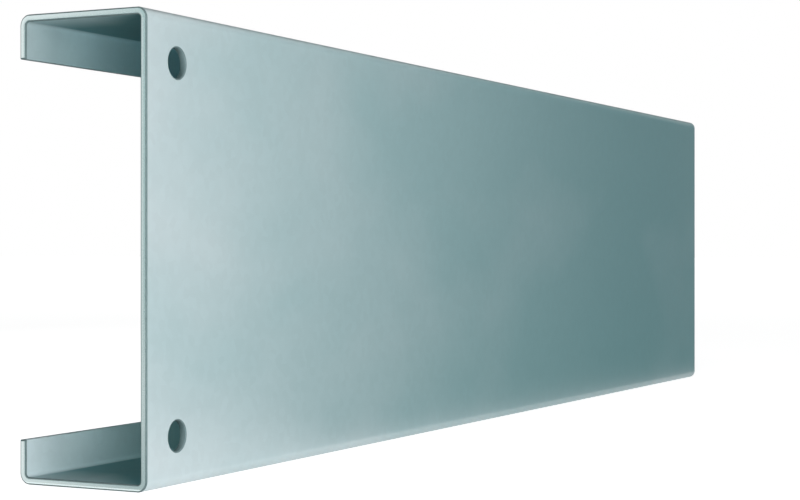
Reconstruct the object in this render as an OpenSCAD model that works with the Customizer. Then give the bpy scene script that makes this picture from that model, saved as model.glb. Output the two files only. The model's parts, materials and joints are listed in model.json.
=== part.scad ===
// Lipped C-channel: a length of cold-formed galvanised steel section, standing on one flange.
// One strip of constant thickness, bent four times: lip, flange, web, flange, lip.
// The length runs along Y. The web is on the +X side, the lips and the open side on -X.
// The origin is in the middle of the footprint, on the surface that the lower flange rests on.

/* [Section] */
// Depth over the outer faces of the two flanges
section_depth = 200; // [150:5:300]
// Width of a flange, from the outer face of the web to the outer face of the lip
flange_w = 65; // [50:5:100]
// Depth of a lip, from the outer face of its flange to its free edge
lip_depth = 19; // [14:1:30]
// Thickness of the strip
strip_t = 3.2; // [1.5:0.1:4.5]
// Inside radius of each bend
bend_r = 1.6; // [0.8:0.1:5]

/* [Length] */
// Length between the two sheared ends
stock_len = 750; // [300:10:6000]

/* [Bolt holes] */
// Diameter of each punched hole
hole_d = 13; // [9:1:22]
// From the sheared end to the centres of the holes
hole_end_dist = 22.5; // [18:0.5:60]
// From the outer face of the nearest flange to the centre of a hole
hole_edge_dist = 21.5; // [20:0.5:60]

/* [Hidden] */
$fn = 96;

galvanised_steel = "#a5b9bc";

// Each bend turns the strip through a right angle about one centre,
// so its inner and outer arcs are concentric and the thickness stays constant round it.
bend_out_r = bend_r + strip_t;
lip_flat = lip_depth - bend_out_r;
flange_flat = flange_w - 2 * bend_out_r;
web_flat = section_depth - 2 * bend_out_r;

// The flat stretches between the bends, in the order in which they lie across the strip.
flats = [lip_flat, flange_flat, web_flat, flange_flat, lip_flat];

web_mid_x = (flange_w - strip_t) / 2;
hole_y = hole_end_dist - stock_len / 2;
hole_heights = [hole_edge_dist, section_depth - hole_edge_dist];

// One bend: a quarter ring about the origin, from the outer face below it round to the right.
module bend() {
    intersection() {
        difference() {
            circle(r = bend_out_r);
            circle(r = bend_r);
        }
        translate([0, -bend_out_r])
            square(bend_out_r);
    }
}

// The strip from flat i onwards, laid along +X with its outer face on the X axis.
// It is the flat, then a bend to the left, then the rest of the strip turned with the bend.
module strip_from(i) {
    square([flats[i], strip_t]);
    if (i < len(flats) - 1)
        translate([flats[i], bend_out_r]) {
            bend();
            translate([bend_out_r, 0])
                rotate(90)
                    strip_from(i + 1);
        }
}

// The whole section: the strip starts at the lower lip's free edge and runs down it,
// along the lower flange, up the web, back along the upper flange and down the upper lip.
module section() {
    translate([-flange_w / 2, lip_depth])
        rotate(-90)
            strip_from(0);
}

// The punch for one hole, square to the web and longer than the strip is thick.
module hole_punch(height) {
    translate([web_mid_x, hole_y, height])
        rotate([0, 90, 0])
            cylinder(d = hole_d, h = 3 * strip_t, center = true);
}

// The finished stock: the section drawn out along Y, less its two bolt holes.
module c_channel() {
    color(galvanised_steel)
        difference() {
            rotate([90, 0, 0])
                linear_extrude(height = stock_len, center = true)
                    section();
            for (height = hole_heights)
                hole_punch(height);
        }
}

c_channel();
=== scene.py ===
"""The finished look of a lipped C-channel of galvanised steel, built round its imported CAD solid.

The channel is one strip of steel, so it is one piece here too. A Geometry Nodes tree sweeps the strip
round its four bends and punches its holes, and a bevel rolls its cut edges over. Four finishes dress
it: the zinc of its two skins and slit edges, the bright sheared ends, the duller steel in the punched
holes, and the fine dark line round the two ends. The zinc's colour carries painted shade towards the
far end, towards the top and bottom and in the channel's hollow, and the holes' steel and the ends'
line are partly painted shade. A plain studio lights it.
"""

from __future__ import annotations

import json
import logging
import math
from dataclasses import dataclass
from enum import Enum
from typing import Any

import bpy
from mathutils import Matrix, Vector


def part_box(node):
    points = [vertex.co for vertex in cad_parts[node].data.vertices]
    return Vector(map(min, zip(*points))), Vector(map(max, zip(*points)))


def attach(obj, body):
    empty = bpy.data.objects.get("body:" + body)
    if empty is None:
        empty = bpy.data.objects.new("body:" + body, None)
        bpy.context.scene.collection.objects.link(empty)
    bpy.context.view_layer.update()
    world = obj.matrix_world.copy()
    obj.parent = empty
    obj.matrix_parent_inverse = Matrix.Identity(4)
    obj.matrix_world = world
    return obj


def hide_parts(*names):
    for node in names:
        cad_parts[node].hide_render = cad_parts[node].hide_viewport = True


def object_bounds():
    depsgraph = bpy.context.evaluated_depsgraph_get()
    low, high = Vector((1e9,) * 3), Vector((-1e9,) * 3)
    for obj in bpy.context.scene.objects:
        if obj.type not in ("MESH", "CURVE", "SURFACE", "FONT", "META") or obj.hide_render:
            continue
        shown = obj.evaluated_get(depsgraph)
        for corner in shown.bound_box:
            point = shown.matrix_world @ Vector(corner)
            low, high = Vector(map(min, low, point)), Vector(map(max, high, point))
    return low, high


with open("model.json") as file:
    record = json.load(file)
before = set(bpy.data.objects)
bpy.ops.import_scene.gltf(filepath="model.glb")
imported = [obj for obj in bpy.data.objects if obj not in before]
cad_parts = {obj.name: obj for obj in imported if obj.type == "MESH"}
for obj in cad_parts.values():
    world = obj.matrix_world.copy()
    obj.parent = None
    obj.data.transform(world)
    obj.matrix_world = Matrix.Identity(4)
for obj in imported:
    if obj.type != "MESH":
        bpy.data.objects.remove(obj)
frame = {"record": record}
CAD_LOW, CAD_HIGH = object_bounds()

LOG = logging.getLogger("c_channel")
NODE = "c_channel"
BODY = "root"
BOLT_MOUNT = "end_bolt_holes"
RIM_SHARE = "rim_share"
MM = 0.001


# ---------------------------------------------------------------------------------------------------
# Small helpers
# ---------------------------------------------------------------------------------------------------


def linear(hex_colour: str) -> tuple[float, float, float, float]:
    """Turns an sRGB hex colour into the linear colour that a shader takes.

    Args:
        hex_colour: Six hex digits after a hash, such as "#8ca8ab".

    Returns:
        Linear red, green and blue, and an alpha of 1.
    """
    channels = [int(hex_colour[i : i + 2], 16) / 255 for i in (1, 3, 5)]
    red, green, blue = (c / 12.92 if c <= 0.04045 else ((c + 0.055) / 1.055) ** 2.4 for c in channels)
    return (red, green, blue, 1.0)


def per_metre(size_mm: float) -> float:
    """Gives the scale of a texture whose features are about so many millimetres across."""
    return 1.0 / (size_mm * MM)


def add_node(
    tree: bpy.types.NodeTree,
    kind: str,
    inputs: dict[str | int, Any] | None = None,
    **settings: Any,
) -> bpy.types.Node:
    """Adds one node to a tree, with its settings, its input values and its links.

    Args:
        tree: The shader or geometry tree that takes the node.
        kind: The node's type name.
        inputs: For each input, by name or number, the value it holds or the socket that feeds it.
        **settings: Properties of the node itself, such as its operation or data type.

    Returns:
        The new node.
    """
    node = tree.nodes.new(kind)
    for name, value in settings.items():
        setattr(node, name, value)
    for key, value in (inputs or {}).items():
        socket = node.inputs[key]
        if isinstance(value, bpy.types.NodeSocket):
            tree.links.new(value, socket)
        else:
            socket.default_value = value
    return node


def new_material(name: str) -> tuple[bpy.types.Material, bpy.types.NodeTree]:
    """Makes a material with an empty node tree.

    Args:
        name: The material's name.

    Returns:
        The material and its tree.
    """
    material = bpy.data.materials.new(name)
    material.use_nodes = True
    material.node_tree.nodes.clear()
    return material, material.node_tree


def bake(piece: bpy.types.Object) -> None:
    """Applies a piece's modifiers to its mesh and removes them.

    Args:
        piece: The piece, which keeps its name and its place.
    """
    evaluated = piece.evaluated_get(bpy.context.evaluated_depsgraph_get())
    mesh = bpy.data.meshes.new_from_object(evaluated)
    mesh.name = piece.name
    piece.modifiers.clear()
    piece.data = mesh


# ---------------------------------------------------------------------------------------------------
# The strip's section, which the finishes and the channel share
# ---------------------------------------------------------------------------------------------------


@dataclass(frozen=True)
class Section:
    """The size of the roll-formed section, in metres."""

    width: float
    depth: float
    lip: float = 19 * MM
    thickness: float = 3.2 * MM
    bend_radius: float = 1.6 * MM

    @property
    def middle_radius(self) -> float:
        """Gives the radius of a bend at the middle of the strip's thickness."""
        return self.bend_radius + self.thickness / 2

    def bend_corner(self) -> tuple[float, float]:
        """Gives how far the bends' centres are from the section's own centre, across and up."""
        inset = self.thickness / 2 + self.middle_radius
        return self.width / 2 - inset, self.depth / 2 - inset


def from_bend_corner(tree: bpy.types.NodeTree, section: Section) -> bpy.types.Node:
    """Measures a point of a material's surface from the nearest bend's centre.

    Args:
        tree: The material's tree.
        section: The section that the bends belong to.

    Returns:
        A node whose X and Z are how far the point is outside that centre, across and up.
    """
    corner_x, corner_z = section.bend_corner()
    point = add_node(tree, "ShaderNodeTexCoord").outputs["Object"]
    centred = add_node(
        tree, "ShaderNodeVectorMath", {0: point, 1: (0, 0, section.depth / 2)}, operation="SUBTRACT"
    )
    quarter = add_node(tree, "ShaderNodeVectorMath", {0: centred.outputs[0]}, operation="ABSOLUTE")
    outside = add_node(
        tree,
        "ShaderNodeVectorMath",
        {0: quarter.outputs[0], 1: (corner_x, 0, corner_z)},
        operation="SUBTRACT",
    )
    return add_node(tree, "ShaderNodeSeparateXYZ", {0: outside.outputs[0]})


def across_strip(tree: bpy.types.NodeTree, section: Section) -> bpy.types.NodeSocket:
    """Measures a point of a material's surface through the strip's thickness.

    Seen along its length, the strip's middle is a rectangle with round corners, so the measure is the
    distance from that outline.

    Args:
        tree: The material's tree.
        section: The section that the strip is bent to.

    Returns:
        0 at the inner skin, 1 at the outer.
    """
    outside = from_bend_corner(tree, section)
    beyond_x = add_node(tree, "ShaderNodeMath", {0: outside.outputs["X"], 1: 0.0}, operation="MAXIMUM")
    beyond_z = add_node(tree, "ShaderNodeMath", {0: outside.outputs["Z"], 1: 0.0}, operation="MAXIMUM")
    beyond = add_node(
        tree, "ShaderNodeCombineXYZ", {"X": beyond_x.outputs[0], "Z": beyond_z.outputs[0]}
    )
    reach = add_node(tree, "ShaderNodeVectorMath", {0: beyond.outputs[0]}, operation="LENGTH")
    middle, half = section.middle_radius, section.thickness / 2
    share = add_node(
        tree,
        "ShaderNodeMapRange",
        {"Value": reach.outputs["Value"], "From Min": middle - half, "From Max": middle + half},
    )
    return share.outputs[0]


# ---------------------------------------------------------------------------------------------------
# Finishes
# ---------------------------------------------------------------------------------------------------


class Finish(Enum):
    """The channel's four finishes, by the name of the material that gives each."""

    ZINC = "skin_passed_galvanised_zinc"
    SHEARED = "sheared_bare_steel"
    PUNCHED = "punched_bare_steel"
    RIM = "rolled_over_zinc_rim"


@dataclass(frozen=True)
class ZincCoat:
    """Hot-dip galvanised strip, skin-passed between ground rolls and passivated.

    The rolls press the spangle flat, and the passivation leaves a fine matt blue-green film. So the eye
    gets a soft grey metal sheen with no clear reflection, slow cloudy patches where the film is thicker,
    the faint ghost of the spangle, and hair lines along the strip. The forming rolls burnish the bends and
    the outer skin. The inner skin keeps a chalky film, so it is duller. On the outer skin the film's colour
    also carries painted shade, darker towards the far end and towards the top and bottom. Inside the
    channel it carries painted shade in the hollow, away from the punched end's open corners.
    """

    section: Section
    # The outer film's colour without painted shade, and the darker colour that its painted shade and cloudy
    # patches lay over it.
    unshaded_film: str = "#b9c5c8"
    cloud_and_shade_film: str = "#9eb7ba"
    # The inner films' colours carry painted shade: pale in the punched end's open corners, dark in the
    # hollow, and on each lip its own painted shade.
    unshaded_inner_film: str = "#9fb7ba"
    shaded_inner_film: str = "#4f7d80"
    web_inner_film: str = "#98b0b3"
    lip_films_at_end: tuple[str, str] = ("#b2c1c5", "#92a3a6")
    shaded_lip_films: tuple[str, str] = ("#85b2b3", "#8cbfc6")
    metallic: float = 0.5
    inner_metallic: float = 0.15
    roughness: float = 0.42
    inner_roughness: float = 0.6
    cloud_mm: float = 90.0
    cloud_share: float = 2.0
    cloud_shift: tuple[float, float, float] = (0.48, 2.39, 0.42)
    # How far the outer film's painted shade reaches: towards the top and bottom, and along the strip towards
    # the far end.
    top_bottom_shade_share: float = 0.22
    far_shade_starts: float = -0.375
    far_shade_full: float = 0.05
    # Where the painted shade inside the channel turns from pale to dark.
    flanges_turn: tuple[float, float] = (-0.375, -0.345)
    web_turn: tuple[float, float] = (0.0, 0.03)
    lips_turn: tuple[float, float] = (-0.375, -0.26)
    spangle_mm: float = 4.0
    hair_line_mm: float = 0.7
    wave_mm: float = 160.0

    def make(self) -> bpy.types.Material:
        """Builds the material.

        Returns:
            The material.
        """
        material, tree = new_material(Finish.ZINC.value)
        point = add_node(tree, "ShaderNodeTexCoord").outputs["Object"]
        shade_and_clouds = self.shade_and_clouds(tree, point)
        spangle = self.spangle(tree, point)
        lines = self.hair_lines(tree, point)
        bend = self.bend_mask(tree)

        side = across_strip(tree, self.section)
        # The outer film darkens towards the far end and towards the top and bottom as painted shade, and in
        # cloudy patches.
        outer = self.layered(tree, self.unshaded_film, [(shade_and_clouds, self.cloud_and_shade_film)])
        # The inner film carries painted shade in the channel's hollow.
        film = self.layered(tree, self.inner_film_with_shade(tree, point), [(side, outer)])
        metal = add_node(
            tree,
            "ShaderNodeMapRange",
            {"Value": side, "To Min": self.inner_metallic, "To Max": self.metallic},
        )
        base_rough = add_node(
            tree,
            "ShaderNodeMapRange",
            {"Value": side, "To Min": self.inner_roughness, "To Max": self.roughness},
        )
        # Each crystal, hair line and bend only shades the film by a few hundredths.
        shade = self.weighted_sum(tree, 1.0, [(spangle, 0.05), (lines, 0.03), (bend, 0.03)])
        colour = add_node(
            tree, "ShaderNodeVectorMath", {0: film, "Scale": shade}, operation="SCALE"
        )
        rough = self.weighted_sum(
            tree,
            base_rough.outputs[0],
            [(shade_and_clouds, 0.07), (spangle, 0.06), (lines, 0.05), (bend, -0.06)],
        )
        # The flats buckle by up to half a millimetre, and the lines and the spangle by a few microns.
        height = self.weighted_sum(
            tree, 0.0, [(self.waves(tree, point), 0.5 * MM), (lines, 0.004 * MM), (spangle, 0.004 * MM)]
        )
        bump = add_node(tree, "ShaderNodeBump", {"Height": height, "Distance": 1.0, "Strength": 1.0})
        shader = add_node(
            tree,
            "ShaderNodeBsdfPrincipled",
            {
                "Base Color": colour.outputs[0],
                "Roughness": rough,
                "Metallic": metal.outputs[0],
                "Normal": bump.outputs[0],
            },
        )
        add_node(tree, "ShaderNodeOutputMaterial", {"Surface": shader.outputs[0]})
        return material

    def inner_film_with_shade(self, tree: bpy.types.NodeTree, point: bpy.types.NodeSocket) -> bpy.types.NodeSocket:
        """Colours the inner skin's film, with painted shade in the channel's hollow.

        On the flanges it is pale only in the punched end's open corners and painted dark elsewhere, and on
        the lips it darkens slowly away from that end, each lip with its own painted shade. The web's inner
        face keeps an even film, without painted shade.

        Args:
            tree: The material's tree.
            point: The place on the piece.

        Returns:
            The film's colour.
        """
        place = add_node(tree, "ShaderNodeSeparateXYZ", {0: point}).outputs
        # Each turn from one film to the next runs along one axis, from a start to an end.
        web_face = self.section.width / 2 - self.section.thickness
        lip_face = self.section.thickness * 1.5 - self.section.width / 2
        inwards, towards_web, beside_web, along_lips, off_lips = (
            add_node(
                tree, "ShaderNodeMapRange", {"Value": place[axis], "From Min": start, "From Max": end}
            ).outputs[0]
            for axis, start, end in (
                ("Y", *self.flanges_turn),
                ("X", *self.web_turn),
                ("X", web_face - 0.7 * MM, web_face),
                ("Y", *self.lips_turn),
                ("X", lip_face, lip_face + 2 * MM),
            )
        )
        # Painted shade: the flanges' insides are dark, except in the punched end's open corners.
        hollow_shade = add_node(
            tree, "ShaderNodeMath", {0: inwards, 1: towards_web}, operation="ADD", use_clamp=True
        )
        flats = self.layered(
            tree,
            self.unshaded_inner_film,
            [(hollow_shade.outputs[0], self.shaded_inner_film), (beside_web, self.web_inner_film)],
        )
        # Painted shade on the lips: each darkens away from the punched end, and the upper and lower lips are
        # shaded apart.
        lower, upper = (
            self.layered(tree, lip_at_end, [(along_lips, shaded)])
            for lip_at_end, shaded in zip(self.lip_films_at_end, self.shaded_lip_films)
        )
        half_depth = self.section.depth / 2
        is_upper = add_node(
            tree, "ShaderNodeMath", {0: place["Z"], 1: half_depth}, operation="GREATER_THAN"
        )
        return self.layered(tree, lower, [(is_upper.outputs[0], upper), (off_lips, flats)])

    def layered(
        self,
        tree: bpy.types.NodeTree,
        lowest: str | bpy.types.NodeSocket,
        films: list[tuple[bpy.types.NodeSocket, str | bpy.types.NodeSocket]],
    ) -> bpy.types.NodeSocket:
        """Lays films over one another.

        Args:
            tree: The material's tree.
            lowest: The colour under all the films, as hex digits or a socket.
            films: Each film from the lowest up: how much it covers, from 0 to 1, and its colour.

        Returns:
            The colour that shows.
        """
        shown = linear(lowest) if isinstance(lowest, str) else lowest
        for cover, colour in films:
            film = linear(colour) if isinstance(colour, str) else colour
            layer = add_node(tree, "ShaderNodeMix", {0: cover, 6: shown, 7: film}, data_type="RGBA")
            shown = layer.outputs[2]
        return shown

    def weighted_sum(
        self,
        tree: bpy.types.NodeTree,
        base: float | bpy.types.NodeSocket,
        parts: list[tuple[bpy.types.NodeSocket, float]],
    ) -> bpy.types.NodeSocket:
        """Adds patterns that run from -0.5 to 0.5 to a base value.

        Args:
            tree: The material's tree.
            base: The value where every pattern is 0.
            parts: Each pattern with its weight.

        Returns:
            The sum.
        """
        total = base
        for pattern, weight in parts:
            node = add_node(
                tree, "ShaderNodeMath", {0: pattern, 1: weight, 2: total}, operation="MULTIPLY_ADD"
            )
            total = node.outputs[0]
        return total

    def shade_and_clouds(self, tree: bpy.types.NodeTree, point: bpy.types.NodeSocket) -> bpy.types.NodeSocket:
        """Draws where the outer film is darker: painted shade towards the far end and towards the top and
        bottom, and cloudy patches of thicker film.

        Args:
            tree: The material's tree.
            point: The place on the piece.

        Returns:
            0 where the film is pale, 1 where it is darkest.
        """
        askew = add_node(
            tree,
            "ShaderNodeMapping",
            {
                "Vector": point,
                "Location": self.cloud_shift,
                "Rotation": (math.radians(14), 0, 0),
                "Scale": (1.0, 0.6, 1.0),
            },
        )
        noise = add_node(
            tree,
            "ShaderNodeTexNoise",
            {"Vector": askew.outputs[0], "Scale": per_metre(self.cloud_mm), "Detail": 3.0, "Roughness": 0.45},
        )
        along = add_node(tree, "ShaderNodeSeparateXYZ", {0: point}).outputs["Y"]
        # Painted shade: the film darkens along the strip towards the far end.
        far_shade = add_node(
            tree,
            "ShaderNodeMapRange",
            {"Value": along, "From Min": self.far_shade_starts, "From Max": self.far_shade_full},
        )
        half = self.section.depth / 2
        # Painted shade: the film darkens from the middle of the height towards the top and bottom.
        top_bottom_shade = add_node(
            tree,
            "ShaderNodeMapRange",
            {"Value": from_bend_corner(tree, self.section).outputs["Z"], "From Min": -half, "From Max": 0.0},
            interpolation_type="SMOOTHSTEP",
        )
        # The painted shade, which the noise's cloudy patches then vary.
        shaded = add_node(
            tree,
            "ShaderNodeMath",
            {0: top_bottom_shade.outputs[0], 1: self.top_bottom_shade_share, 2: far_shade.outputs[0]},
            operation="MULTIPLY_ADD",
        )
        centred = add_node(tree, "ShaderNodeMath", {0: noise.outputs[0], 1: 0.5}, operation="SUBTRACT")
        shared = add_node(
            tree,
            "ShaderNodeMath",
            {0: centred.outputs[0], 1: self.cloud_share, 2: shaded.outputs[0]},
            operation="MULTIPLY_ADD",
            use_clamp=True,
        )
        return shared.outputs[0]

    def spangle(self, tree: bpy.types.NodeTree, point: bpy.types.NodeSocket) -> bpy.types.NodeSocket:
        """Gives every pressed-flat zinc crystal a tone of its own.

        Args:
            tree: The material's tree.
            point: The place on the piece.

        Returns:
            The crystals' tones, from -0.5 to 0.5.
        """
        cells = add_node(
            tree, "ShaderNodeTexVoronoi", {"Vector": point, "Scale": per_metre(self.spangle_mm)}
        )
        tone = add_node(tree, "ShaderNodeSeparateColor", {0: cells.outputs["Color"]})
        centred = add_node(tree, "ShaderNodeMath", {0: tone.outputs[0], 1: 0.5}, operation="SUBTRACT")
        return centred.outputs[0]

    def hair_lines(self, tree: bpy.types.NodeTree, point: bpy.types.NodeSocket) -> bpy.types.NodeSocket:
        """Draws the hair lines of the ground rolls along the strip.

        The real lines are about 0.1 mm apart. They are drawn coarser here, so that they show at all.

        Args:
            tree: The material's tree.
            point: The place on the piece.

        Returns:
            Lines along Y, from -0.5 to 0.5.
        """
        drawn_out = add_node(
            tree, "ShaderNodeMapping", {"Vector": point, "Scale": (1.0, 0.006, 1.0)}
        )
        noise = add_node(
            tree,
            "ShaderNodeTexNoise",
            {"Vector": drawn_out.outputs[0], "Scale": per_metre(self.hair_line_mm), "Detail": 2.0},
        )
        centred = add_node(tree, "ShaderNodeMath", {0: noise.outputs[0], 1: 0.5}, operation="SUBTRACT")
        return centred.outputs[0]

    def waves(self, tree: bpy.types.NodeTree, point: bpy.types.NodeSocket) -> bpy.types.NodeSocket:
        """Draws the slight buckle that roll forming leaves in the flats.

        Args:
            tree: The material's tree.
            point: The place on the piece.

        Returns:
            The buckle's height, from -0.5 to 0.5.
        """
        noise = add_node(
            tree,
            "ShaderNodeTexNoise",
            {"Vector": point, "Scale": per_metre(self.wave_mm), "Detail": 0.0},
        )
        centred = add_node(tree, "ShaderNodeMath", {0: noise.outputs[0], 1: 0.5}, operation="SUBTRACT")
        return centred.outputs[0]

    def bend_mask(self, tree: bpy.types.NodeTree) -> bpy.types.NodeSocket:
        """Marks the four bends, where the forming rolls pressed hardest.

        Args:
            tree: The material's tree.

        Returns:
            0 on the flats, 1 in a bend.
        """
        outside = from_bend_corner(tree, self.section)
        least = add_node(
            tree,
            "ShaderNodeMath",
            {0: outside.outputs["X"], 1: outside.outputs["Z"]},
            operation="MINIMUM",
        )
        mask = add_node(
            tree,
            "ShaderNodeMapRange",
            {"Value": least.outputs[0], "From Min": -1.5 * MM, "From Max": 1.5 * MM},
            interpolation_type="SMOOTHSTEP",
        )
        return mask.outputs[0]


@dataclass(frozen=True)
class ShearedSteel:
    """Bare steel at the two ends, where a shear has cut the formed section to length.

    The blade burnishes the side that it enters and tears the rest. So the eye gets a bright satin line
    with a slightly duller, grainy one inside it.
    """

    section: Section
    burnished: str = "#dce9e9"
    torn: str = "#d0e0e0"
    metallic: float = 1.0
    roughness: float = 0.16
    torn_roughness: float = 0.24
    tear_mm: float = 0.6

    def make(self) -> bpy.types.Material:
        """Builds the material.

        Returns:
            The material.
        """
        material, tree = new_material(Finish.SHEARED.value)
        point = add_node(tree, "ShaderNodeTexCoord").outputs["Object"]
        grain = add_node(
            tree,
            "ShaderNodeTexNoise",
            {"Vector": point, "Scale": per_metre(self.tear_mm), "Detail": 2.0},
        ).outputs[0]
        # The burnished band is about the outer two thirds, with an edge that wanders a little.
        wander = add_node(
            tree,
            "ShaderNodeMath",
            {0: grain, 1: 0.3, 2: across_strip(tree, self.section)},
            operation="MULTIPLY_ADD",
        )
        band = add_node(
            tree,
            "ShaderNodeMapRange",
            {"Value": wander.outputs[0], "From Min": 0.35, "From Max": 0.65},
            interpolation_type="SMOOTHSTEP",
        )
        colour = add_node(
            tree,
            "ShaderNodeMix",
            {0: band.outputs[0], 6: linear(self.torn), 7: linear(self.burnished)},
            data_type="RGBA",
        )
        rough = add_node(
            tree,
            "ShaderNodeMapRange",
            {"Value": band.outputs[0], "To Min": self.torn_roughness, "To Max": self.roughness},
        )
        bump = add_node(tree, "ShaderNodeBump", {"Height": grain, "Distance": 0.003 * MM, "Strength": 1.0})
        shader = add_node(
            tree,
            "ShaderNodeBsdfPrincipled",
            {
                "Base Color": colour.outputs[2],
                "Roughness": rough.outputs[0],
                "Metallic": self.metallic,
                "Normal": bump.outputs[0],
            },
        )
        add_node(tree, "ShaderNodeOutputMaterial", {"Surface": shader.outputs[0]})
        return material


@dataclass(frozen=True)
class PunchedSteel:
    """Bare steel in the punched holes.

    The punch goes in from the outer skin, irons a smooth band and then breaks out. So the eye gets a
    wall that is mid grey at the mouth and a darker grey behind, with fine score marks through it. Both
    greys are partly painted shade, far darker than the same bare steel at the sheared ends.
    """

    section: Section
    # Both colours are partly painted shade, much darker than the bare steel of the sheared ends.
    shaded_land: str = "#5c6f71"
    shaded_break_out: str = "#3f5758"
    roughness: float = 0.5
    metallic: float = 0.2
    score_mm: float = 0.5

    def make(self) -> bpy.types.Material:
        """Builds the material.

        Returns:
            The material.
        """
        material, tree = new_material(Finish.PUNCHED.value)
        point = add_node(tree, "ShaderNodeTexCoord").outputs["Object"]
        through = add_node(tree, "ShaderNodeMapping", {"Vector": point, "Scale": (0.1, 1.0, 1.0)})
        scores = add_node(
            tree,
            "ShaderNodeTexNoise",
            {"Vector": through.outputs[0], "Scale": per_metre(self.score_mm), "Detail": 1.0},
        ).outputs[0]
        ragged = add_node(
            tree,
            "ShaderNodeMath",
            {0: scores, 1: 0.3, 2: across_strip(tree, self.section)},
            operation="MULTIPLY_ADD",
        )
        outward = add_node(
            tree,
            "ShaderNodeMapRange",
            {"Value": ragged.outputs[0], "From Min": 0.25, "From Max": 0.9},
            interpolation_type="SMOOTHSTEP",
        )
        colour = add_node(
            tree,
            "ShaderNodeMix",
            {0: outward.outputs[0], 6: linear(self.shaded_break_out), 7: linear(self.shaded_land)},
            data_type="RGBA",
        )
        bump = add_node(tree, "ShaderNodeBump", {"Height": scores, "Distance": 0.02 * MM, "Strength": 1.0})
        shader = add_node(
            tree,
            "ShaderNodeBsdfPrincipled",
            {
                "Base Color": colour.outputs[2],
                "Roughness": self.roughness,
                "Metallic": self.metallic,
                "Normal": bump.outputs[0],
            },
        )
        add_node(tree, "ShaderNodeOutputMaterial", {"Surface": shader.outputs[0]})
        return material


@dataclass(frozen=True)
class RolledRim:
    """The fine line round a sheared end, where the blade drew the zinc over before it broke through.

    The drawn zinc is stretched fine and full of small cracks, and its colour is partly painted shade, so
    the eye gets a dark matt outline round the end.
    """

    # Both colours are partly painted shade: the rim is drawn darker than its light makes it.
    sound_zinc_and_shade: str = "#687a7b"
    cracked_zinc_and_shade: str = "#4f6263"
    metallic: float = 0.3
    roughness: float = 0.6
    crack_mm: float = 1.2

    def make(self) -> bpy.types.Material:
        """Builds the material.

        Returns:
            The material.
        """
        material, tree = new_material(Finish.RIM.value)
        point = add_node(tree, "ShaderNodeTexCoord").outputs["Object"]
        cracks = add_node(
            tree,
            "ShaderNodeTexNoise",
            {"Vector": point, "Scale": per_metre(self.crack_mm), "Detail": 2.0},
        ).outputs[0]
        colour = add_node(
            tree,
            "ShaderNodeMix",
            {0: cracks, 6: linear(self.sound_zinc_and_shade), 7: linear(self.cracked_zinc_and_shade)},
            data_type="RGBA",
        )
        shader = add_node(
            tree,
            "ShaderNodeBsdfPrincipled",
            {"Base Color": colour.outputs[2], "Roughness": self.roughness, "Metallic": self.metallic},
        )
        add_node(tree, "ShaderNodeOutputMaterial", {"Surface": shader.outputs[0]})
        return material


def make_finishes(section: Section) -> dict[Finish, bpy.types.Material]:
    """Builds the four materials.

    Args:
        section: The section that the finishes follow.

    Returns:
        Each finish's material.
    """
    return {
        Finish.ZINC: ZincCoat(section).make(),
        Finish.SHEARED: ShearedSteel(section).make(),
        Finish.PUNCHED: PunchedSteel(section).make(),
        Finish.RIM: RolledRim().make(),
    }


# ---------------------------------------------------------------------------------------------------
# The channel
# ---------------------------------------------------------------------------------------------------


@dataclass(frozen=True)
class BoltHoles:
    """The row of bolt holes punched through the web near one end. Sizes are in metres."""

    radius: float
    spacing: float
    y: float
    sides: int = 96


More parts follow.
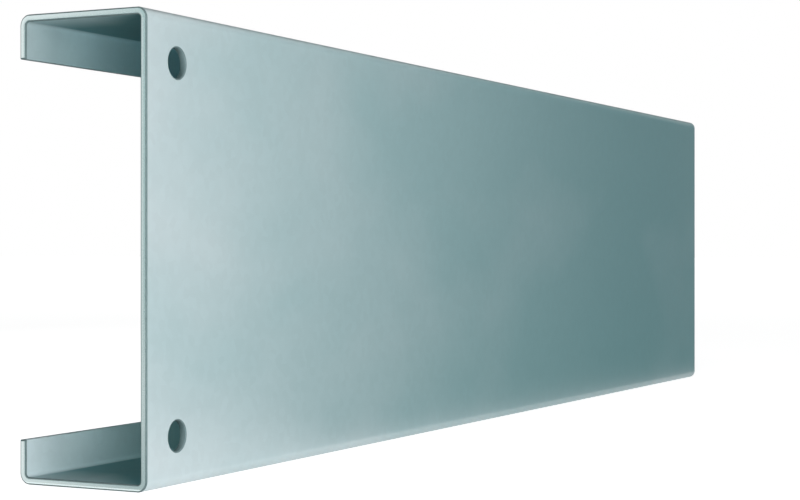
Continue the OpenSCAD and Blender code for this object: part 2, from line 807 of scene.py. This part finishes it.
@dataclass
class LippedChannel:
    """The roll-formed strip with its bends, sheared ends and punched holes. Sizes are in metres."""

    section: Section
    length: float
    holes: BoltHoles
    rim_radius: float = 0.65 * MM
    slit_share: float = 0.4
    rim_steps: int = 3
    bend_steps: int = 20

    @classmethod
    def from_frame(cls) -> LippedChannel:
        """Takes the outer sizes from the CAD node's box and the holes from its bolt mount.

        Returns:
            The channel, sized to fit the CAD solid.
        """
        low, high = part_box(NODE)
        size = high - low
        mount = next(m for m in frame["record"]["mounts"] if m["name"] == BOLT_MOUNT)
        holes = BoltHoles(
            radius=mount["dims"]["hole_r_mm"] * MM,
            spacing=mount["dims"]["spacing_y_mm"] * MM,
            y=mount["pos_m"][1],
        )
        return cls(section=Section(width=size.x, depth=size.z), length=size.y, holes=holes)

    def inputs(self) -> dict[str, float | int]:
        """Gives the forming tree's inputs by name."""
        return {
            "Width": self.section.width,
            "Length": self.length,
            "Depth": self.section.depth,
            "Lip": self.section.lip,
            "Thickness": self.section.thickness,
            "Middle Radius": self.section.middle_radius,
            "Bend Steps": self.bend_steps,
            "Hole Radius": self.holes.radius,
            "Hole Y": self.holes.y,
            "Hole Spacing": self.holes.spacing,
            "Hole Sides": self.holes.sides,
        }

    def forming_tree(self, finishes: dict[Finish, bpy.types.Material]) -> bpy.types.NodeTree:
        """Builds the tree that forms the strip, punches it and dresses it.

        Args:
            finishes: The material of each finish.

        Returns:
            The geometry tree, with a named input for each size.
        """
        tree = bpy.data.node_groups.new("roll_forming", "GeometryNodeTree")
        for label, value in self.inputs().items():
            kind = "NodeSocketInt" if isinstance(value, int) else "NodeSocketFloat"
            tree.interface.new_socket(label, in_out="INPUT", socket_type=kind)
        tree.interface.new_socket("Geometry", in_out="OUTPUT", socket_type="NodeSocketGeometry")
        given = add_node(tree, "NodeGroupInput").outputs
        middle_line = self.middle_line(tree, given)
        strip = self.strip(tree, given, middle_line)
        punched = self.punched(tree, given, strip)
        whole = add_node(tree, "GeometryNodeRealizeInstances", {0: punched})
        dressed = self.dressed(tree, given, whole.outputs[0], middle_line, finishes)
        add_node(tree, "NodeGroupOutput", {0: dressed})
        return tree

    def by_corner(self, tree: bpy.types.NodeTree, values: list[Any]) -> bpy.types.NodeSocket:
        """Gives each point of the middle line the value at its own place in a list.

        Args:
            tree: The geometry tree.
            values: One socket for each point.

        Returns:
            The value as a field.
        """
        index = add_node(tree, "GeometryNodeInputIndex").outputs[0]
        switch = add_node(tree, "GeometryNodeIndexSwitch", {0: index}, data_type="FLOAT")
        while len(switch.index_switch_items) < len(values):
            switch.index_switch_items.new()
        for place, value in enumerate(values, start=1):
            tree.links.new(value, switch.inputs[place])
        return switch.outputs[0]

    def middle_line(
        self, tree: bpy.types.NodeTree, given: bpy.types.bpy_prop_collection
    ) -> bpy.types.NodeSocket:
        """Draws the section's middle line: six corners from lip edge to lip edge, the inner four rounded.

        Args:
            tree: The geometry tree.
            given: The tree's inputs.

        Returns:
            The line as a curve, each of whose points has the strip's length as its normal.
        """
        depth, lip, thickness, width = (given[k] for k in ("Depth", "Lip", "Thickness", "Width"))
        half_t = add_node(tree, "ShaderNodeMath", {0: thickness, 1: 0.5}, operation="MULTIPLY").outputs[0]
        middle_width = add_node(tree, "ShaderNodeMath", {0: width, 1: thickness}, operation="SUBTRACT")
        right, left = (
            add_node(
                tree, "ShaderNodeMath", {0: middle_width.outputs[0], 1: share}, operation="MULTIPLY"
            ).outputs[0]
            for share in (0.5, -0.5)
        )
        top, top_lip = (
            add_node(tree, "ShaderNodeMath", {0: depth, 1: inset}, operation="SUBTRACT").outputs[0]
            for inset in (half_t, lip)
        )
        corners_x = self.by_corner(tree, [left, left, right, right, left, left])
        corners_z = self.by_corner(tree, [lip, half_t, half_t, top, top, top_lip])

        line = add_node(tree, "GeometryNodeMeshLine", {"Count": 6}).outputs[0]
        place = add_node(tree, "ShaderNodeCombineXYZ", {"X": corners_x, "Z": corners_z}).outputs[0]
        placed = add_node(tree, "GeometryNodeSetPosition", {"Geometry": line, "Position": place})
        path = add_node(tree, "GeometryNodeMeshToCurve", {"Mesh": placed.outputs[0]})
        bent = add_node(
            tree,
            "GeometryNodeFilletCurve",
            {"Curve": path.outputs[0], "Count": given["Bend Steps"], "Radius": given["Middle Radius"]},
            mode="POLY",
        )
        along_length = add_node(
            tree,
            "GeometryNodeSetCurveNormal",
            {"Curve": bent.outputs[0], "Normal": (0.0, 1.0, 0.0)},
            mode="FREE",
        )
        return along_length.outputs[0]

    def strip(
        self,
        tree: bpy.types.NodeTree,
        given: bpy.types.bpy_prop_collection,
        middle_line: bpy.types.NodeSocket,
    ) -> bpy.types.NodeSocket:
        """Sweeps the strip's own cross-section, its length by its thickness, round the middle line.

        The thickness is constant, and the two faces of each bend share one centre.

        Args:
            tree: The geometry tree.
            given: The tree's inputs.
            middle_line: The curve that the strip follows.

        Returns:
            The strip as a closed mesh.
        """
        strip_end = add_node(
            tree,
            "GeometryNodeCurvePrimitiveQuadrilateral",
            {"Width": given["Length"], "Height": given["Thickness"]},
        )
        strip = add_node(
            tree,
            "GeometryNodeCurveToMesh",
            {"Curve": middle_line, "Profile Curve": strip_end.outputs[0], "Fill Caps": True},
        )
        return strip.outputs[0]

    def punched(
        self,
        tree: bpy.types.NodeTree,
        given: bpy.types.bpy_prop_collection,
        strip: bpy.types.NodeSocket,
    ) -> bpy.types.NodeSocket:
        """Sets a punch on every hole centre of the web and cuts them all out.

        Args:
            tree: The geometry tree.
            given: The tree's inputs.
            strip: The formed strip.

        Returns:
            The strip with its holes.
        """
        spare = add_node(
            tree, "ShaderNodeMath", {0: given["Depth"], 1: given["Hole Spacing"]}, operation="SUBTRACT"
        )
        half_w, lowest, punch_length = (
            add_node(tree, "ShaderNodeMath", {0: size, 1: share}, operation="MULTIPLY").outputs[0]
            for size, share in ((given["Width"], 0.5), (spare.outputs[0], 0.5), (given["Thickness"], 4.0))
        )
        first = add_node(
            tree, "ShaderNodeCombineXYZ", {"X": half_w, "Y": given["Hole Y"], "Z": lowest}
        )
        step = add_node(tree, "ShaderNodeCombineXYZ", {"Z": given["Hole Spacing"]})
        centres = add_node(
            tree,
            "GeometryNodeMeshLine",
            {"Count": 2, "Start Location": first.outputs[0], "Offset": step.outputs[0]},
        )
        punch = add_node(
            tree,
            "GeometryNodeMeshCylinder",
            {
                "Vertices": given["Hole Sides"],
                "Radius": given["Hole Radius"],
                "Depth": punch_length,
            },
        )
        across_web = (0.0, math.pi / 2, 0.0)
        punches = add_node(
            tree,
            "GeometryNodeInstanceOnPoints",
            {"Points": centres.outputs[0], "Instance": punch.outputs["Mesh"], "Rotation": across_web},
        )
        solid_punches = add_node(tree, "GeometryNodeRealizeInstances", {0: punches.outputs[0]})
        cut = add_node(
            tree,
            "GeometryNodeMeshBoolean",
            {"Mesh 1": strip, "Mesh 2": solid_punches.outputs[0]},
            operation="DIFFERENCE",
            solver="EXACT",
        )
        return cut.outputs[0]

    def dressed(
        self,
        tree: bpy.types.NodeTree,
        given: bpy.types.bpy_prop_collection,
        mesh: bpy.types.NodeSocket,
        middle_line: bpy.types.NodeSocket,
        finishes: dict[Finish, bpy.types.Material],
    ) -> bpy.types.NodeSocket:
        """Marks the rims, and gives the skins, the sheared ends and the punched holes their materials.

        A face that a tool has cut spans the strip's thickness, so its centre is on the strip's middle
        sheet. The centre of a face on either skin is half the thickness away from that sheet.

        Args:
            tree: The geometry tree.
            given: The tree's inputs.
            mesh: The punched strip.
            middle_line: The curve that the middle sheet follows.
            finishes: The material of each finish.

        Returns:
            The strip with its materials.
        """
        half_length, minus_half, quarter_t = (
            add_node(tree, "ShaderNodeMath", {0: size, 1: share}, operation="MULTIPLY").outputs[0]
            for size, share in ((given["Length"], 0.5), (given["Length"], -0.5), (given["Thickness"], 0.25))
        )
        near_end = add_node(tree, "ShaderNodeCombineXYZ", {"X": minus_half})
        far_end = add_node(tree, "ShaderNodeCombineXYZ", {"X": half_length})
        sheet_end = add_node(
            tree,
            "GeometryNodeCurvePrimitiveLine",
            {"Start": near_end.outputs[0], "End": far_end.outputs[0]},
        )
        middle_sheet = add_node(
            tree,
            "GeometryNodeCurveToMesh",
            {"Curve": middle_line, "Profile Curve": sheet_end.outputs[0]},
        )
        from_middle = add_node(tree, "GeometryNodeProximity", {0: middle_sheet.outputs[0]})
        is_cut = add_node(
            tree, "ShaderNodeMath", {0: from_middle.outputs["Distance"], 1: quarter_t}, operation="LESS_THAN"
        )

        place = add_node(tree, "GeometryNodeInputPosition").outputs[0]
        at = add_node(tree, "ShaderNodeSeparateXYZ", {0: place}).outputs
        from_mid_length = add_node(tree, "ShaderNodeMath", {0: at["Y"]}, operation="ABSOLUTE")
        almost_half = add_node(tree, "ShaderNodeMath", {0: half_length, 1: quarter_t}, operation="SUBTRACT")
        between_ends = add_node(
            tree,
            "ShaderNodeMath",
            {0: from_mid_length.outputs[0], 1: almost_half.outputs[0]},
            operation="LESS_THAN",
        )
        in_web = add_node(tree, "ShaderNodeMath", {0: at["X"], 1: 0.0}, operation="GREATER_THAN")
        is_web_cut = add_node(
            tree, "ShaderNodeMath", {0: is_cut.outputs[0], 1: in_web.outputs[0]}, operation="MULTIPLY"
        )
        is_bore = add_node(
            tree,
            "ShaderNodeMath",
            {0: is_web_cut.outputs[0], 1: between_ends.outputs[0]},
            operation="MULTIPLY",
        )
        is_by_end = add_node(
            tree, "ShaderNodeMath", {0: 1.0, 1: between_ends.outputs[0]}, operation="SUBTRACT"
        )
        is_end = add_node(
            tree, "ShaderNodeMath", {0: is_cut.outputs[0], 1: is_by_end.outputs[0]}, operation="MULTIPLY"
        )

        mesh = self.with_rims(tree, mesh, between_ends.outputs[0], in_web.outputs[0])
        for selection, finish in (
            (True, Finish.ZINC),
            (is_end.outputs[0], Finish.SHEARED),
            (is_bore.outputs[0], Finish.PUNCHED),
        ):
            coating = add_node(
                tree,
                "GeometryNodeSetMaterial",
                {"Geometry": mesh, "Selection": selection, "Material": finishes[finish]},
            )
            mesh = coating.outputs[0]
        return mesh

    def with_rims(
        self,
        tree: bpy.types.NodeTree,
        mesh: bpy.types.NodeSocket,
        between_ends: bpy.types.NodeSocket,
        in_web: bpy.types.NodeSocket,
    ) -> bpy.types.NodeSocket:
        """Marks the cut edges that are rolled over: the ends' and the holes' fully, the lips' less.

        Args:
            tree: The geometry tree.
            mesh: The punched strip.
            between_ends: 1 away from the two ends.
            in_web: 1 on the web's side of the section.

        Returns:
            The strip with each edge's share of the rim's radius.
        """
        angle = add_node(tree, "GeometryNodeInputMeshEdgeAngle").outputs["Unsigned Angle"]
        is_sharp = add_node(
            tree, "ShaderNodeMath", {0: angle, 1: math.radians(45)}, operation="GREATER_THAN"
        )
        by_lips = add_node(tree, "ShaderNodeMath", {0: 1.0, 1: in_web}, operation="SUBTRACT")
        is_slit = add_node(
            tree, "ShaderNodeMath", {0: by_lips.outputs[0], 1: between_ends}, operation="MULTIPLY"
        )
        rolled = add_node(
            tree,
            "ShaderNodeMath",
            {0: is_slit.outputs[0], 1: self.slit_share - 1.0, 2: 1.0},
            operation="MULTIPLY_ADD",
        )
        share = add_node(
            tree, "ShaderNodeMath", {0: rolled.outputs[0], 1: is_sharp.outputs[0]}, operation="MULTIPLY"
        )
        marked = add_node(
            tree,
            "GeometryNodeStoreNamedAttribute",
            {"Geometry": mesh, "Name": RIM_SHARE, "Value": share.outputs[0]},
            data_type="FLOAT",
            domain="EDGE",
        )
        return marked.outputs[0]

    def roll_rims(self, piece: bpy.types.Object, finishes: dict[Finish, bpy.types.Material]) -> None:
        """Rolls the marked edges over, and leaves only the ends' rims their dark line.

        Args:
            piece: The formed strip.
            finishes: The material of each finish.
        """
        materials = piece.data.materials
        materials.append(finishes[Finish.RIM])
        rim = len(materials) - 1
        rolling = piece.modifiers.new("rolling", "BEVEL")
        rolling.width = self.rim_radius
        rolling.segments = self.rim_steps
        rolling.limit_method = "WEIGHT"
        rolling.edge_weight = RIM_SHARE
        rolling.material = rim
        bake(piece)
        zinc = materials.find(Finish.ZINC.value)
        punched = materials.find(Finish.PUNCHED.value)
        end = self.length / 2 - 2 * self.rim_radius
        for face in piece.data.polygons:
            if face.material_index == rim and abs(face.center.y) < end:
                face.material_index = zinc if face.center.x < 0.0 else punched

    def make(self, finishes: dict[Finish, bpy.types.Material]) -> bpy.types.Object:
        """Forms the strip, rolls its cut edges over and evens its shading.

        Args:
            finishes: The material of each finish.

        Returns:
            The finished piece, with its place in its mesh.
        """
        piece = bpy.data.objects.new("lipped_channel", bpy.data.meshes.new("lipped_channel"))
        bpy.context.scene.collection.objects.link(piece)
        forming = piece.modifiers.new("forming", "NODES")
        forming.node_group = self.forming_tree(finishes)
        sockets = forming.node_group.interface.items_tree
        identifiers = {item.name: item.identifier for item in sockets if item.in_out == "INPUT"}
        for label, value in self.inputs().items():
            forming[identifiers[label]] = value
        bake(piece)

        self.roll_rims(piece, finishes)
        piece.data.shade_smooth()
        shading = piece.modifiers.new("shading", "WEIGHTED_NORMAL")
        shading.weight = 100
        bake(piece)
        return piece


# ---------------------------------------------------------------------------------------------------
# Studio
# ---------------------------------------------------------------------------------------------------


def seen_ray(tree: bpy.types.NodeTree) -> bpy.types.NodeSocket:
    """Tells the rays that see a background from the rays that light a surface.

    Args:
        tree: The tree of the background's material or world.

    Returns:
        1 for a ray from the camera, off metal or through glass, and 0 for any other.
    """
    path = add_node(tree, "ShaderNodeLightPath").outputs
    seen = path["Is Camera Ray"]
    for kind in ("Is Glossy Ray", "Is Transmission Ray"):
        seen = add_node(tree, "ShaderNodeMath", {0: seen, 1: path[kind]}, operation="MAXIMUM").outputs[0]
    return seen


@dataclass(frozen=True)
class Softbox:
    """A white panel of even brightness that lights what it faces. Sizes are in metres."""

    name: str
    place: tuple[float, float, float]
    aim: tuple[float, float, float]
    width: float
    height: float
    brightness: float

    def build(self) -> bpy.types.Object:
        """Hangs the panel, hidden from the camera and from metal, which reflects the room instead.

        Returns:
            The lamp.
        """
        data = bpy.data.lights.new(self.name, "AREA")
        data.shape = "RECTANGLE"
        data.size = self.width
        data.size_y = self.height
        # A lamp's power spreads over its area, and four watts a square metre look as bright as white.
        data.energy = 4.0 * self.width * self.height * self.brightness
        lamp = bpy.data.objects.new(self.name, data)
        lamp.location = self.place
        towards = Vector(self.aim) - Vector(self.place)
        lamp.rotation_euler = towards.to_track_quat("-Z", "Y").to_euler()
        lamp.visible_camera = False
        lamp.visible_glossy = False
        bpy.context.scene.collection.objects.link(lamp)
        return lamp


@dataclass(frozen=True)
class Card:
    """A card that only metal reflects, stood by the channel to give its bright metal depth.

    It has one colour, or one at each corner that blend across it.
    """

    name: str
    corners: tuple[tuple[float, float, float], ...]
    colours: tuple[str, ...]

    def build(self) -> bpy.types.Object:
        """Stands the card, hidden from every ray but those off metal.

        Returns:
            The card.
        """
        mesh = bpy.data.meshes.new(self.name)
        mesh.from_pydata(self.corners, [], [tuple(range(len(self.corners)))])
        tones = mesh.color_attributes.new("tone", "FLOAT_COLOR", "POINT")
        for corner in range(len(self.corners)):
            tones.data[corner].color = linear(self.colours[corner % len(self.colours)])
        card = bpy.data.objects.new(self.name, mesh)
        bpy.context.scene.collection.objects.link(card)
        material, tree = new_material(self.name)
        tone = add_node(tree, "ShaderNodeAttribute", attribute_name="tone")
        face = add_node(tree, "ShaderNodeEmission", {"Color": tone.outputs["Color"], "Strength": 1.0})
        add_node(tree, "ShaderNodeOutputMaterial", {"Surface": face.outputs[0]})
        mesh.materials.append(material)
        card.visible_camera = False
        card.visible_diffuse = False
        card.visible_transmission = False
        card.visible_shadow = False
        return card


@dataclass
class Studio:
    """A white room with a pale floor, soft lamps and cards. Sizes are in metres, but for the camera's."""

    floor_size: float = 40.0
    floor_gap: float = 0.2 * MM
    floor_colour: str = "#bcbcbc"
    floor_glow: float = 0.9
    fill_colour: str = "#eef6f6"
    fill: float = 0.1
    camera_place: tuple[float, float, float] = (0.4527, -0.9827, 0.0998)
    camera_azimuth: float = math.radians(26.58)
    lens_mm: float = 80.3
    sensor_mm: float = 36.0

    def build_world(self) -> None:
        """Makes the room: white where it is seen, and a dim cool fill where it lights."""
        world = bpy.data.worlds.new("white_room")
        world.use_nodes = True
        tree = world.node_tree
        tree.nodes.clear()
        white = add_node(tree, "ShaderNodeBackground", {"Color": (1, 1, 1, 1), "Strength": 1.0})
        fill = add_node(
            tree, "ShaderNodeBackground", {"Color": linear(self.fill_colour), "Strength": self.fill}
        )
        room = add_node(
            tree, "ShaderNodeMixShader", {0: seen_ray(tree), 1: fill.outputs[0], 2: white.outputs[0]}
        )
        add_node(tree, "ShaderNodeOutputWorld", {"Surface": room.outputs[0]})
        bpy.context.scene.world = world

    def build_floor(self) -> None:
        """Lays the floor just under the channel."""
        half, low = self.floor_size / 2, CAD_LOW.z - self.floor_gap
        corners = [(-half, -half, low), (half, -half, low), (half, half, low), (-half, half, low)]
        mesh = bpy.data.meshes.new("floor")
        mesh.from_pydata(corners, [], [(0, 1, 2, 3)])
        floor = bpy.data.objects.new("floor", mesh)
        bpy.context.scene.collection.objects.link(floor)
        material, tree = new_material("pale_floor")
        lit = add_node(tree, "ShaderNodeBsdfDiffuse", {"Color": linear(self.floor_colour)})
        # The glow reaches full white in the distance, so that the floor meets the room unseen.
        place = add_node(tree, "ShaderNodeTexCoord").outputs["Object"]
        away = add_node(tree, "ShaderNodeVectorMath", {0: place}, operation="LENGTH")
        brightness = add_node(
            tree,
            "ShaderNodeMapRange",
            {"Value": away.outputs["Value"], "From Min": 0.5, "From Max": 3.0, "To Min": self.floor_glow},
        )
        glow_level = add_node(
            tree, "ShaderNodeMath", {0: seen_ray(tree), 1: brightness.outputs[0]}, operation="MULTIPLY"
        )
        glow = add_node(
            tree, "ShaderNodeEmission", {"Color": (1, 1, 1, 1), "Strength": glow_level.outputs[0]}
        )
        both = add_node(tree, "ShaderNodeAddShader", {0: lit.outputs[0], 1: glow.outputs[0]})
        add_node(tree, "ShaderNodeOutputMaterial", {"Surface": both.outputs[0]})
        mesh.materials.append(material)

    def softboxes(self) -> list[Softbox]:
        """Gives the lamps.

        Returns:
            The lamps.
        """
        near_end = (0.0, CAD_LOW.y, (CAD_LOW.z + CAD_HIGH.z) / 2)
        return [
            Softbox("key", (0.481, -0.642, 0.07), near_end, 0.55, 0.13, 14.4),
            Softbox("front", (0.482, -1.364, 0.12), near_end, 0.35, 0.2, 8.0),
            Softbox("high", (0.338, -1.1, 0.4), near_end, 0.2, 0.2, 11.0),
            Softbox("left", (-1.0, 0.0, 0.4), (0.0, -0.1, 0.1), 0.8, 0.3, 4.0),
            Softbox("top", (0.07, -0.19, 0.62), (0.03, -0.19, 0.1), 0.06, 0.34, 9.0),
        ]

    def cards(self) -> list[Card]:
        """Gives the cards, which stand or lie round the channel.

        Returns:
            The cards.
        """
        return [
            Card(
                "card_right",
                ((0.10, 0.62, 0.0), (0.50, 0.62, 0.0), (0.50, 0.62, 0.7), (0.10, 0.62, 0.7)),
                ("#5b9fa5",),
            ),
            Card(
                "card_left",
                ((-0.3, -0.37, 0.0), (-0.3, 1.0, 0.0), (-0.3, 1.0, 1.2), (-0.3, -0.37, 1.2)),
                ("#080f10",),
            ),
            Card(
                "card_back",
                ((-0.3, 1.0, 0.0), (0.0, 1.0, 0.0), (0.0, 1.0, 1.2), (-0.3, 1.0, 1.2)),
                ("#080f10",),
            ),
            Card(
                "card_floor",
                ((-0.3, -0.37, MM), (-0.034, -0.37, MM), (-0.034, 1.0, MM), (-0.3, 1.0, MM)),
                ("#080f10",),
            ),
            Card(
                "card_floor_right",
                ((0.05, -0.2, MM), (0.6, -0.2, MM), (0.6, 0.62, MM), (0.05, 0.62, MM)),
                ("#63a8a9",),
            ),
            Card(
                "card_end",
                ((-0.63, -1.155, 0.0), (-0.47, -1.275, 0.0), (-0.47, -1.275, 0.5), (-0.63, -1.155, 0.5)),
                ("#ffffff", "#3f8181", "#6ca0a0", "#ffffff"),
            ),
            Card(
                "card_end_floor",
                (
                    (-0.05, -0.376, MM),
                    (0.06, -0.376, MM),
                    (-0.47, -1.22, MM),
                    (-0.75, -1.10, MM),
                ),
                ("#ffffff", "#96aaaa", "#a8b4b4", "#ffffff"),
            ),
        ]

    def build_camera(self) -> None:
        """Stands the camera before the punched end, level, at half the channel's depth."""
        data = bpy.data.cameras.new("camera")
        data.sensor_width = self.sensor_mm
        data.lens = self.lens_mm
        data.clip_end = 100.0
        camera = bpy.data.objects.new("camera", data)
        camera.location = self.camera_place
        camera.rotation_euler = (math.pi / 2, 0.0, self.camera_azimuth)
        bpy.context.scene.collection.objects.link(camera)
        bpy.context.scene.camera = camera

    def build(self) -> None:
        """Builds the room, the floor, the lamps, the cards and the camera."""
        self.build_world()
        self.build_floor()
        for light in (*self.softboxes(), *self.cards()):
            light.build()
        self.build_camera()
        bpy.context.scene.view_settings.view_transform = "Standard"


def main() -> None:
    """Builds the channel and its studio."""
    logging.basicConfig(level=logging.INFO, format="%(name)s: %(message)s")
    channel = LippedChannel.from_frame()
    piece = channel.make(make_finishes(channel.section))
    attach(piece, BODY)
    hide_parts(NODE)
    LOG.info("%s: %d faces", piece.name, len(piece.data.polygons))

    Studio().build()
    LOG.info("studio built")


if __name__ == "__main__":
    main()
